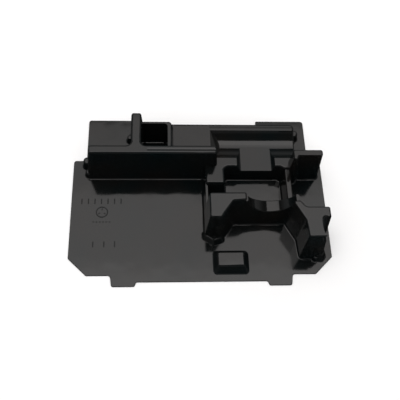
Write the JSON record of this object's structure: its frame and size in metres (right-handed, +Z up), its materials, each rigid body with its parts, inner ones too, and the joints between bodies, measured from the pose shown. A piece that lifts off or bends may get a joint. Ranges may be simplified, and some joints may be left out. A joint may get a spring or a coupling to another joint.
{
  "type": "thermoformed plastic tray",
  "caption": "Black vacuum-formed tool-case insert: flat tabbed sheet with tall walls, a square well, a round-bottomed trough, a saddle and a stepped pocket.",
  "frame": {"origin": "centre of the bounding box at the underside of the sheet", "axes": "+X to the right along the long side, +Y towards the edge with the square well, +Z up out of the sheet"},
  "size_m": [0.372, 0.2714, 0.0652],
  "materials": {
    "tray": "black, semi-gloss, faintly wavy from forming"
  },
  "bodies": {
    "root": {"tray": "tray"}
  },
  "joints": []
}
